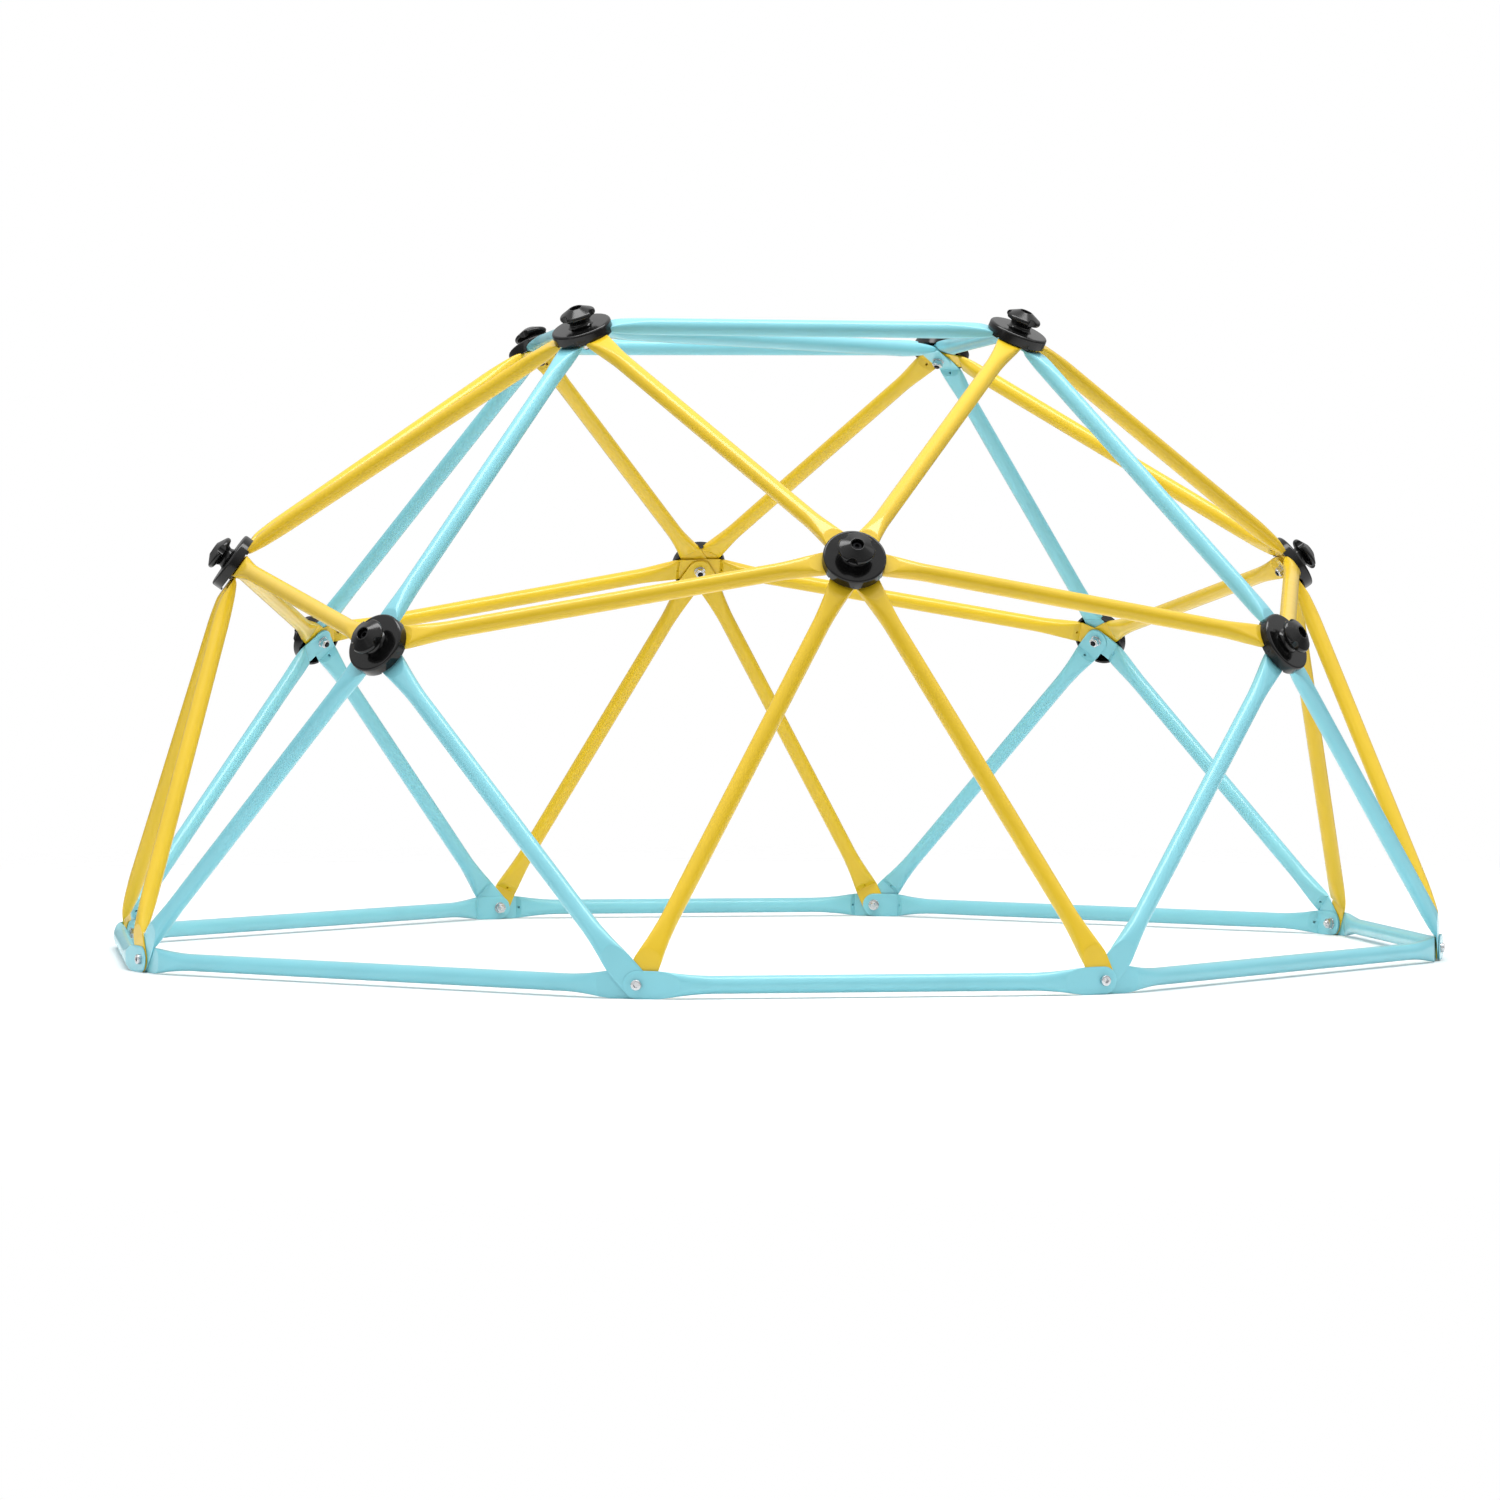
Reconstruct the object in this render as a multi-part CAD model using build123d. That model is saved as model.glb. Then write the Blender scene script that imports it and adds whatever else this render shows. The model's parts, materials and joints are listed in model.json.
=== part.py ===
"""Dome climber: a play dome of forty-nine steel tubes bolted end to end.

The joints lie on a sphere whose centre is level with the foot joints. Crown, corner and foot joints are
the corners of a truncated octahedron, and a peak joint stands over the middle of each hexagon. One tube
crosses the crown's square from corner to corner. Every tube has flattened, bent ends, which stack on one
bolt at a joint. Each joint above the ground carries a moulded cap, keyed between the tubes, and a
three-lobed climbing grip, held by the same bolt. Turned by half a turn, the dome is the same.

Row frame: millimetres, +Z up, origin on the ground under the middle of the dome. The -Y side is the front.
"""

import os
from math import atan2, cos, degrees, radians, sin, sqrt

from build123d import *

# Driving dimensions.
JOINT_RADIUS = 904.0  # sphere through the middles of the corner and foot joints
CROWN_RADIUS = 900.0  # the crown and peak joints sit a little inside that sphere
PEAK_RADIUS = 880.0
TUBE_RADIUS = 11.0
WALL = 1.0
LEAF = 2 * WALL  # a flattened end is two walls pressed together
LEAF_HALF_WIDTH = 17.0
BOLT_RADIUS = 3.95
HOLE_RADIUS = 4.75
SIDES = 4

# Flattened tube ends. Distances run from the bolt, along the leaf.
CREASE = 30.0
WIDE_CREASE = 36.5  # where a leg and a long base bar stand only 48 degrees apart
TAPER_START = 20.0
FACET_ANGLE = 54.0  # steepness of the pressed step on the inside of the tube
VENT_RADIUS = 1.9
# Flared stretch between round tube and leaf: distance from the crease, half width, half height.
FLARE = [(-2.5, 16.9, 5.2), (6.0, 15.9, 6.2), (22.0, 13.7, 8.4), (42.0, 11.9, 10.1), (64.0, 11.0, 11.0)]
ROUND_START = 74.0

# Cap and climbing grip.
CAP_RADIUS = 39.5
CAP_HEIGHT = 10.0
CAP_WALL = 3.5
CAP_RIM_FILLET = 3.3
SKIRT_DEPTH = 4.0
KEY_DEPTH = 6.0
KEY_GAP = 0.35  # between a tube and the skirt beside it
GRIP_HEIGHT = 24.8
GRIP_SEAT = 15.5
GRIP_BORE = 4.5
GRIP_COUNTERBORE = 7.7
LOBES = 3
SCALLOP_RADIUS = 7.5
SCALLOP_CENTRE = 25.8
SCALLOP_FOOT = 9.6
GRIP_TURN = 11
CROWN_GRIP_TURN = -19

# M8 hardware.
HEX_ACROSS = 13.0
NUT_HEX_HEIGHT = 6.5
NUT_HEIGHT = 8.0
WASHER_RADIUS = 8.0
WASHER_THICKNESS = 1.6
HEAD_RADIUS = 6.5
HEAD_HEIGHT = 5.0
HEAD_FILLET = 1.2
SOCKET_ACROSS = 6.0
SOCKET_DEPTH = 3.0
BOLT_END = 2.0  # thread showing beyond a nut

CENTRE = Vector(0, 0, LEAF_HALF_WIDTH)  # foot leaves reach exactly to the ground


def turn(direction, quarter_turns):
    """A direction turned about Z by quarter turns."""
    return Vector(*direction).rotate(Axis.Z, 90 * quarter_turns)


def joint_directions():
    """Outward unit vector of every joint, by name. Number 0 of each kind is at the front or front left."""
    found = {}
    for k in range(SIDES):
        found[f"crown_{k}"] = turn((-1, -1, 2 * sqrt(2)), k).normalized()
        found[f"corner_{k}"] = turn((-2, -2, sqrt(2)), k).normalized()
        found[f"peak_{k}"] = turn((0, -sqrt(2), 1), k).normalized()
        found[f"foot_{2 * k}"] = turn((-1, -3, 0), k).normalized()
        found[f"foot_{2 * k + 1}"] = turn((1, -3, 0), k).normalized()
    return found


def stacks():
    """For every joint, the joints that its tubes lead to, from the outermost leaf to the innermost."""
    found = {}
    for k in range(SIDES):
        after, before = (k + 1) % SIDES, (k - 1) % SIDES
        left, right = 2 * k, 2 * k + 1
        found[f"crown_{k}"] = [f"crown_{after}", f"crown_{before}", f"peak_{k}", f"peak_{before}"]
        found[f"crown_{k}"] += [f"corner_{k}"]
        found[f"peak_{k}"] = [f"crown_{k}", f"crown_{after}", f"corner_{k}", f"corner_{after}"]
        found[f"peak_{k}"] += [f"foot_{left}", f"foot_{right}"]
        found[f"corner_{k}"] = [f"crown_{k}", f"peak_{before}", f"peak_{k}"]
        found[f"corner_{k}"] += [f"foot_{2 * before + 1}", f"foot_{left}"]
        found[f"foot_{left}"] = [f"foot_{right}", f"corner_{k}", f"peak_{k}", f"foot_{2 * before + 1}"]
        found[f"foot_{right}"] = [f"foot_{left}", f"peak_{k}", f"corner_{after}", f"foot_{2 * after}"]
    found["crown_0"].append("crown_2")
    found["crown_2"].append("crown_0")
    return found


DIRECTION = joint_directions()
STACK = stacks()


def joint_centre(name):
    """Middle of the joint's stack of leaves, on its bolt."""
    radius = {"crown": CROWN_RADIUS, "peak": PEAK_RADIUS}.get(name.split("_")[0], JOINT_RADIUS)
    return CENTRE + DIRECTION[name] * radius


def leaf_centre(name, towards):
    """Where the bolt crosses the middle of the leaf of the tube that leads from one joint to another."""
    leaves = STACK[name]
    return joint_centre(name) + DIRECTION[name] * (LEAF * ((len(leaves) - 1) / 2 - leaves.index(towards)))


def along_leaf(name, towards):
    """Unit vector in the plane of a joint's leaves, pointing to another joint."""
    chord = leaf_centre(towards, name) - leaf_centre(name, towards)
    return (chord - DIRECTION[name] * chord.dot(DIRECTION[name])).normalized()


def crease_of(name, towards):
    """Distance from the bolt to the crease."""
    crowded = name.startswith("foot") and towards.startswith("corner")
    long_bar = name.startswith("foot") and towards == STACK[name][-1]
    return WIDE_CREASE if crowded or long_bar else CREASE


# A tube, lying along X with its outward side up. Its first crease is at the origin.


def section(x, half_width, half_height):
    """Elliptical section of a tube, square to its axis."""
    return Plane(origin=(x, 0, 0), x_dir=(0, 1, 0), z_dir=(1, 0, 0)) * Ellipse(half_width, half_height)


def flared_core(length, inset):
    """The round and flared shape of a tube before its ends are pressed flat, shrunk by inset."""
    rings = [(x, wide - inset, high - inset) for x, wide, high in FLARE]
    radius = TUBE_RADIUS - inset
    disc = Plane(origin=(ROUND_START, 0, 0), x_dir=(0, 1, 0), z_dir=(1, 0, 0)) * Circle(radius)
    flare = loft([section(*ring) for ring in rings] + [disc])
    middle = extrude(disc, length - 2 * ROUND_START)
    far = Pos(length, 0, 0) * mirror(flare, Plane.YZ)
    return flare + middle + far


def end_lines(bend):
    """Side view of one pressed end: unit vectors along the leaf, out of it and down the facet, as (x, z)."""
    along = Vector(cos(radians(bend)), sin(radians(bend)))
    out = Vector(-sin(radians(bend)), cos(radians(bend)))
    down = Vector(cos(radians(bend - FACET_ANGLE)), sin(radians(bend - FACET_ANGLE)))
    return along, out, down


def outer_side(bend, reach, crease):
    """Side outline of a pressed end, from its outer face round the tip to the foot of its facet."""
    along, out, down = end_lines(bend)
    tip = along * -(crease + LEAF_HALF_WIDTH + 3)
    top = out * WALL + along * ((reach - WALL * cos(radians(bend))) / sin(radians(bend)))
    heel = out * -WALL
    foot = heel + down * (reach / sin(radians(FACET_ANGLE - bend)))
    return [top, tip + out * WALL, tip - out * WALL, heel, foot]


def inner_side(bend, reach):
    """Side outline of the hollow in a pressed end, one wall inside the outer one."""
    along, out, down = end_lines(bend)
    inward = Vector(-down.Y, down.X)
    start = out * -WALL + inward * WALL
    # The hollow begins where its roof, a line along the middle of the leaf, meets its sloping floor.
    apex = start - down * (start.dot(out) / down.dot(out))
    roof_end = along * (reach / sin(radians(bend)))
    return [roof_end, apex, apex + down * (reach / sin(radians(FACET_ANGLE - bend)))]


def side_block(length, near, far):
    """Prism across the tube whose side view joins the outlines of both ends."""
    mirrored = [Vector(length - p.X, p.Y) for p in reversed(far)]
    points = [(p.X, 0, p.Y) for p in near + mirrored]
    outline = make_face(Polyline(*points, close=True))
    return extrude(outline, 2 * LEAF_HALF_WIDTH, dir=(0, 1, 0), both=True)


def leaf_block(bend, crease):
    """The first end's leaf and its round tip, thicker than they will be. The pressed outline trims them."""
    along, out, _ = end_lines(bend)
    frame = Plane(origin=(0, 0, 0), x_dir=(along.X, 0, along.Y), z_dir=(out.X, 0, out.Y))
    narrow = FLARE[0][1] - 0.55
    edge = [(-crease, LEAF_HALF_WIDTH), (TAPER_START - crease, LEAF_HALF_WIDTH), (0, narrow)]
    outline = make_face(Polyline(*edge, *[(x, -y) for x, y in reversed(edge)], close=True))
    blank = outline + Pos(-crease, 0) * Circle(LEAF_HALF_WIDTH)
    return extrude(frame * blank, 2 * LEAF, both=True)


def end_drills(bend, crease):
    """Bolt hole and vent hole of the first end."""
    along, out, down = end_lines(bend)
    bolt_frame = Plane(origin=(-crease * along.X, 0, -crease * along.Y), z_dir=(out.X, 0, out.Y))
    bolt = extrude(bolt_frame * Circle(HOLE_RADIUS), 3 * LEAF, both=True)
    middle = out * -WALL + down * (0.42 * TUBE_RADIUS)
    vent_frame = Plane(origin=(middle.X, 0, middle.Y), z_dir=(-down.Y, 0, down.X))
    vent = extrude(vent_frame * Circle(VENT_RADIUS), 1.5 * WALL, both=True)
    return bolt + vent


def bent_tube(length, bend_near, bend_far, crease_near, crease_far):
    """A tube with pressed ends. length is from crease to crease; the bends are in degrees."""
    reach = 2 * TUBE_RADIUS
    far_leaf = Pos(length, 0, 0) * mirror(leaf_block(bend_far, crease_far), Plane.YZ)
    blank = flared_core(length, 0) + leaf_block(bend_near, crease_near) + far_leaf
    near, far = outer_side(bend_near, reach, crease_near), outer_side(bend_far, reach, crease_far)
    outer = side_block(length, near, far)
    inside = side_block(length, inner_side(bend_near, reach), inner_side(bend_far, reach))
    hollow = flared_core(length, WALL) & inside
    far_drills = Pos(length, 0, 0) * mirror(end_drills(bend_far, crease_far), Plane.YZ)
    return (blank & outer) - hollow - end_drills(bend_near, crease_near) - far_drills


def tube_between(name, other):
    """The tube that joins two joints, in place."""
    near, far = along_leaf(name, other), along_leaf(other, name)
    start = leaf_centre(name, other) + near * crease_of(name, other)
    end = leaf_centre(other, name) + far * crease_of(other, name)
    axis = end - start
    line = axis.normalized()
    outward = (DIRECTION[name] - line * DIRECTION[name].dot(line)).normalized()
    bends = near.get_angle(line), far.get_angle(line * -1)
    tube = bent_tube(axis.length, *bends, crease_of(name, other), crease_of(other, name))
    return Plane(origin=start, x_dir=line, z_dir=outward).location * tube


# Caps, grips and hardware, built upright about Z.


def leaf_angles(name, first):
    """Angle of each tube round a joint, in degrees, from the tube that leads to first."""
    ahead = along_leaf(name, first)
    across = DIRECTION[name].cross(ahead)
    directions = [along_leaf(name, towards) for towards in STACK[name]]
    return [degrees(atan2(d.dot(across), d.dot(ahead))) for d in directions]


def cap(angles):
    """Moulded cap. Z is 0 at the outermost leaf. The skirt clears each leaf; keys drop between the tubes."""
    disc = extrude(Circle(CAP_RADIUS), CAP_HEIGHT)
    disc = fillet(disc.edges().group_by(Axis.Z)[-1], CAP_RIM_FILLET)
    pocket = Circle(CAP_RADIUS - CAP_WALL) - Circle(WASHER_RADIUS + 4)
    body = disc - extrude(pocket, CAP_HEIGHT - CAP_WALL)
    for angle in angles:
        rib = Pos(CAP_RADIUS / 2 - 1, 0, CAP_HEIGHT / 2) * Box(CAP_RADIUS - 8, 2.4, CAP_HEIGHT - 2)
        body += Rot(0, 0, angle) * rib
    skirt = Pos(0, 0, -KEY_DEPTH) * extrude(Circle(CAP_RADIUS) - Circle(CAP_RADIUS - CAP_WALL), KEY_DEPTH + 1)
    # A notch narrows outward as the tube does.
    inner, outer = LEAF_HALF_WIDTH + KEY_GAP, FLARE[1][1] + KEY_GAP
    edge = [(20, inner), (CREASE, inner), (45, outer)]
    notch = make_face(Polyline(*edge, *[(x, -y) for x, y in reversed(edge)], close=True))
    for layer, angle in enumerate(angles):
        roof = max(-LEAF * layer, -SKIRT_DEPTH)
        skirt -= Rot(0, 0, angle) * Pos(0, 0, roof) * extrude(notch, -2 * KEY_DEPTH)
    body += skirt
    bore = extrude(Circle(GRIP_BORE), CAP_HEIGHT)
    return body - bore


def grip():
    """Three-lobed climbing grip. Z is 0 on the cap."""
    neck = ThreePointArc((17.0, 0), (13.8, 4.9), (16.0, 9.6))
    under = Line((16.0, 9.6), (20.6, 10.9))
    edge = ThreePointArc((20.6, 10.9), (23.5, 14.3), (21.6, 18.1))
    slope = Line((21.6, 18.1), (10.6, 23.9))
    rim = ThreePointArc((10.6, 23.9), (9.5, 24.5), (8.6, GRIP_HEIGHT))
    seat = Polyline(
        (8.6, GRIP_HEIGHT),
        (GRIP_COUNTERBORE, GRIP_HEIGHT),
        (GRIP_COUNTERBORE, GRIP_SEAT),
        (GRIP_BORE, GRIP_SEAT),
        (GRIP_BORE, 0),
        (17.0, 0),
    )
    profile = make_face(Plane.XZ * (neck + under + edge + slope + rim + seat))
    body = revolve(profile, Axis.Z)
    for k in range(LOBES):
        scallop = Pos(SCALLOP_CENTRE, 0, SCALLOP_FOOT) * extrude(Circle(SCALLOP_RADIUS), GRIP_HEIGHT)
        body -= Rot(0, 0, 360 * k / LOBES) * scallop
    return body


def hexagon(across, height):
    """Hexagonal prism by its width across flats."""
    return extrude(RegularPolygon(across / 2, 6, major_radius=False), height)


def socket_bolt(length):
    """Low socket-head bolt. Z is 0 under the head, and the shank points down."""
    head = extrude(Circle(HEAD_RADIUS), HEAD_HEIGHT)
    head = fillet(head.edges().group_by(Axis.Z)[-1], HEAD_FILLET)
    head -= Pos(0, 0, HEAD_HEIGHT - SOCKET_DEPTH) * hexagon(SOCKET_ACROSS, HEAD_HEIGHT)
    return head + shank(length)


def shank(length):
    """Bolt shank below Z 0, with a chamfered end."""
    rod = extrude(Circle(BOLT_RADIUS), -length)
    return chamfer(rod.edges().group_by(Axis.Z)[0], 0.8)


def washer():
    """Flat washer. Z is 0 on its upper face."""
    return extrude(Circle(WASHER_RADIUS) - Circle(BOLT_RADIUS + 0.3), -WASHER_THICKNESS)


def lock_nut():
    """Nylon-insert lock nut. Z is 0 on its bearing face, and it hangs below."""
    bore = Circle(BOLT_RADIUS + 0.03)
    corner_radius = HEX_ACROSS / sqrt(3)
    blank = extrude(Circle(corner_radius), -NUT_HEX_HEIGHT)
    blank = chamfer(blank.edges(), corner_radius - HEX_ACROSS / 2)
    collar = extrude(Circle(HEX_ACROSS / 2 - 0.8), -NUT_HEIGHT)
    collar = fillet(collar.edges().group_by(Axis.Z)[0], 0.7)
    return (hexagon(HEX_ACROSS, -NUT_HEX_HEIGHT) & blank) + collar - extrude(bore, -NUT_HEIGHT)


def on_joint(name, first, level):
    """Location on a joint's bolt, level mm above the stack: Z outward, X towards another joint."""
    top = joint_centre(name) + DIRECTION[name] * (LEAF * len(STACK[name]) / 2 + level)
    return Plane(origin=top, x_dir=along_leaf(name, first), z_dir=DIRECTION[name]).location


def joints_of(kind):
    """Names of the joints of a kind, in order."""
    return sorted(name for name in STACK if name.startswith(kind))


def quarter_turned(name, k):
    """The joint that a joint turns into when the dome is turned by k quarter turns."""
    kind, number = name.split("_")
    count = len(joints_of(kind))
    return f"{kind}_{(int(number) + k * count // SIDES) % count}"


def hub_stack(name):
    """Bolt, washer and nut of a joint that carries a grip."""
    depth = LEAF * len(STACK[name])
    top = on_joint(name, STACK[name][0], CAP_HEIGHT + GRIP_SEAT)
    under = on_joint(name, STACK[name][0], -depth)
    nut_face = on_joint(name, STACK[name][0], -depth - WASHER_THICKNESS)
    length = GRIP_SEAT + CAP_HEIGHT + depth + WASHER_THICKNESS + NUT_HEIGHT + BOLT_END
    return top * socket_bolt(length), under * washer(), nut_face * lock_nut()


def foot_stack(name):
    """Bolt, washer and nut of a foot joint. The bolt head is outside."""
    depth = LEAF * len(STACK[name])
    outside = on_joint(name, STACK[name][0], 0)
    under = on_joint(name, STACK[name][0], -depth)
    nut_face = on_joint(name, STACK[name][0], -depth - WASHER_THICKNESS)
    length = depth + WASHER_THICKNESS + NUT_HEIGHT + BOLT_END
    return outside * socket_bolt(length), under * washer(), nut_face * lock_nut()


# Tubes by family: the name, and the joints that the first quarter's tubes connect.
FAMILIES = {
    "crown_bar": [("crown_0", "crown_1")],
    "crown_brace": [("crown_0", "peak_0"), ("crown_1", "peak_0")],
    "corner_rafter": [("crown_0", "corner_0")],
    "ring_bar": [("peak_0", "corner_0"), ("peak_0", "corner_1")],
    "peak_leg": [("peak_0", "foot_0"), ("peak_0", "foot_1")],
    "corner_leg": [("corner_0", "foot_0"), ("corner_1", "foot_1")],
    "short_base_bar": [("foot_0", "foot_1")],
    "long_base_bar": [("foot_1", "foot_2")],
}
# Capped joints: where the first cap's X points, and degrees from there to the middle of a grip's scallop.
CAPPED = {
    "crown": ("corner_0", CROWN_GRIP_TURN),
    "peak": ("crown_0", GRIP_TURN),
    "corner": ("crown_0", GRIP_TURN),
}


def write(name, pieces):
    """One STEP file per node. Several pieces stay separate solids in one compound."""
    shape = pieces[0] if len(pieces) == 1 else Compound(children=pieces)
    export_step(shape, f"parts/{name}.step")


def main():
    os.makedirs("parts", exist_ok=True)
    for family, pairs in FAMILIES.items():
        for i, (name, other) in enumerate(pairs):
            for k in range(SIDES // 2):
                tube = tube_between(quarter_turned(name, k), quarter_turned(other, k))
                for opposite in (0, SIDES // 2):
                    number = (k + opposite) * len(pairs) + i + 1
                    write(f"{family}_{number}", [Rot(0, 0, 90 * opposite) * tube])
    write("crown_diagonal", [tube_between("crown_0", "crown_2")])
    for kind, (first, grip_turn) in CAPPED.items():
        caps, grips = [], []
        for k in range(SIDES):
            name, ahead = quarter_turned(f"{kind}_0", k), quarter_turned(first, k)
            caps.append(on_joint(name, ahead, 0) * cap(leaf_angles(name, ahead)))
            grips.append(on_joint(name, ahead, CAP_HEIGHT) * Rot(0, 0, grip_turn) * grip())
        write(f"{kind}_caps", caps)
        write(f"{kind}_grips", grips)
    hubs = [hub_stack(name) for kind in CAPPED for name in joints_of(kind)]
    feet = [foot_stack(name) for name in joints_of("foot")]
    write("hub_bolts", [bolt for bolt, _, _ in hubs])
    write("foot_bolts", [bolt for bolt, _, _ in feet])
    write("washers", [washer for _, washer, _ in hubs + feet])
    write("nuts", [nut for _, _, nut in hubs + feet])


main()
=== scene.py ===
"""Dome climber: formed tubes, moulded joints, hardware, finishes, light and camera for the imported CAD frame.

Shapes are built in millimetres, in the frame that the CAD part uses, and turned into metres when each piece
is made. Directions, stacking order and pressed ends follow the same rules as the CAD part.
"""

import json
from math import asin, atan2, cos, pi, radians, sin, sqrt, tan

import bmesh
import bpy
import numpy as np
from mathutils import Matrix, Vector


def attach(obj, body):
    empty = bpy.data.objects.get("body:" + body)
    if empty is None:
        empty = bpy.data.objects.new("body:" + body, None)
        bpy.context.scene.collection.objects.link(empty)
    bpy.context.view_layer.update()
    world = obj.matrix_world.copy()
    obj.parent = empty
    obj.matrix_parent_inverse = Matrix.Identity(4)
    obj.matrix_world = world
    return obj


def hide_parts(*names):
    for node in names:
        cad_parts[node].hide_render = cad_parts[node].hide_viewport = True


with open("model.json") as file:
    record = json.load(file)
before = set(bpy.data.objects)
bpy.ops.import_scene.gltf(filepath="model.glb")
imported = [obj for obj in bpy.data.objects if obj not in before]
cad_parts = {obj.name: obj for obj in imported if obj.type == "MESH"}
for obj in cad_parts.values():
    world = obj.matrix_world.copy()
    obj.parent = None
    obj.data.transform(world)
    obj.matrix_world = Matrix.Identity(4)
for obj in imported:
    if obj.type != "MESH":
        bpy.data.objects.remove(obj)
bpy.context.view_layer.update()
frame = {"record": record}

METRE = 0.001  # one millimetre in metres

# The dome, as in the CAD part.
JOINT_RADIUS = 904.0  # from the centre to the corner and foot joints
CROWN_RADIUS = 900.0
PEAK_RADIUS = 880.0
TUBE_RADIUS = 11.0
WALL = 1.0
LEAF = 2 * WALL
LEAF_HALF_WIDTH = 17.0
HOLE_RADIUS = 4.75
CREASE = 30.0  # from the bolt to the bend
WIDE_CREASE = 36.5  # where a leg and a long base bar stand close together
TAPER_START = 20.0
FACET_ANGLE = 54.0  # degrees, of the pressed step on the inside of the tube
VENT_RADIUS = 1.9
VENT_DEPTH = 5.0  # how far the vent's cutter reaches into the tube
VENT_PLACE = 0.42 * TUBE_RADIUS  # from the crease, down the pressed step
DRILL_REACH = 6  # the bolt hole's cutter, each way from the leaf
ROUND_START = 74.0  # from here on the tube is round
SIDES = 4  # of the crown's square
CENTRE = Vector((0, 0, LEAF_HALF_WIDTH))

# Pressed ends: (distance from the crease, value) of a tube's half width, half height and squareness.
WIDTHS = [(-2.5, 16.75), (6, 15.9), (22, 13.7), (42, 11.9), (64, 11), (ROUND_START, 11)]
HEIGHTS = [(-16, 1.9), (-10, 2.5), (-2.5, 5.2), (6, 6.2), (22, 8.4), (42, 10.1), (64, 11), (ROUND_START, 11)]
POWERS = [(-10, 2), (0, 2.6), (8, 3.3), (22, 3.3), (42, 2.5), (64, 2), (ROUND_START, 2)]
EDGE_SOFTNESS = 0.2  # how far a pressed edge is rounded
AROUND = 88  # points round a tube
TIP_STEPS = 14  # rings round the leaf's tip
LEAF_STEP = 2.4  # between rings on the leaf
FLARE_STATIONS = (0.4, 1.2, 2.4, 4, 6, 8, 10, 12.5, 15, 17.5, 20, 23, 26, 30, 34, 38, 43, 48, 54, 60, 67)
FLARE_STATIONS += (ROUND_START,)
NEAR_EDGE = (-1.6, -0.8, -0.35, 0, 0.35, 0.8, 1.6)  # extra stations round a pressed edge

# Cap, grip and M8 hardware.
CAP_RADIUS = 39.5
CAP_HEIGHT = 10.0
CAP_WALL = 3.5
CAP_RIM_FILLET = 3.3
SKIRT_DEPTH = 4.0
KEY_DEPTH = 6.0
KEY_GAP = 0.35
GRIP_HEIGHT = 24.8
GRIP_SEAT = 15.5
GRIP_BORE = 4.5
GRIP_COUNTERBORE = 7.7
LOBES = 3
SCALLOP_RADIUS = 7.5
SCALLOP_CENTRE = 25.8
SCALLOP_SOFTNESS = 1.1
GRIP_TURN = 11  # degrees from a cap's X to the middle of a scallop
CROWN_GRIP_TURN = -19
CAP_SEGMENTS = 144
GRIP_SEGMENTS = 288
NOTCH_START = 20
NOTCH_END = 45
NOTCH_NARROW = 15.9
RIB_START = 8
RIB_HALF_WIDTH = 1.2
SCALLOP_SLOPE = 120  # how fast a scallop's reach grows past its edge
HEAD_START = 12  # scallops are cut from here outward
BOLT_RADIUS = 3.95
THREAD_PITCH = 1.25
THREAD_DEPTH = 0.5
HEX_ACROSS = 13.0
NUT_HEX_HEIGHT = 6.5
NUT_HEIGHT = 8.0
WASHER_RADIUS = 8.0
WASHER_THICKNESS = 1.6
HEAD_RADIUS = 6.5
HEAD_HEIGHT = 5.0
HEAD_FILLET = 1.2
SOCKET_ACROSS = 6.0
SOCKET_DEPTH = 3.0
BOLT_END = 2.0  # bolt left beyond the nut
THREAD_SPARE = 4  # thread beyond the nut's other side
BORE_CLEARANCE = 0.03  # between thread and nut
SMOOTH_ANGLE = 32  # degrees; a steeper edge is shown crisp
GRIP_ANGLE = 50  # the same, on grips

# Studio, in metres and in units of the white backdrop's brightness.
HORIZON_GLOW = 0.24
OVERHEAD_GLOW = 1.0
FLOOR_RADIUS = 3.4
FLOOR_FADE = 1.3  # from here outward the floor fades

# Camera, from the dome's own size: the circle of the foot joints' bolts.
FOOT_CIRCLE = 0.915
FOOT_HEIGHT = 0.017
CAMERA_AZIMUTH = -8.066  # degrees
CAMERA_ELEVATION = 1.7216  # degrees
CAMERA_DISTANCE = 8.474 * FOOT_CIRCLE
CAMERA_ASIDE = -0.0337 * FOOT_CIRCLE
CAMERA_RAISED = 0.2577 * FOOT_CIRCLE
LENS = 136.85
SHIFT = (0.0023, 0.0112)


# Where the joints are, and which way their tubes leave them.


def turned(direction, quarter_turns):
    """A direction turned about Z by quarter turns, as a unit vector."""
    return (Matrix.Rotation(radians(90 * quarter_turns), 3, "Z") @ Vector(direction)).normalized()


def joint_directions():
    """Outward unit vector of every joint, by name. Number 0 of each kind is at the front or front left."""
    found = {}
    for k in range(SIDES):
        found[f"crown_{k}"] = turned((-1, -1, 2 * sqrt(2)), k)
        found[f"corner_{k}"] = turned((-2, -2, sqrt(2)), k)
        found[f"peak_{k}"] = turned((0, -sqrt(2), 1), k)
        found[f"foot_{2 * k}"] = turned((-1, -3, 0), k)
        found[f"foot_{2 * k + 1}"] = turned((1, -3, 0), k)
    return found


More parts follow.
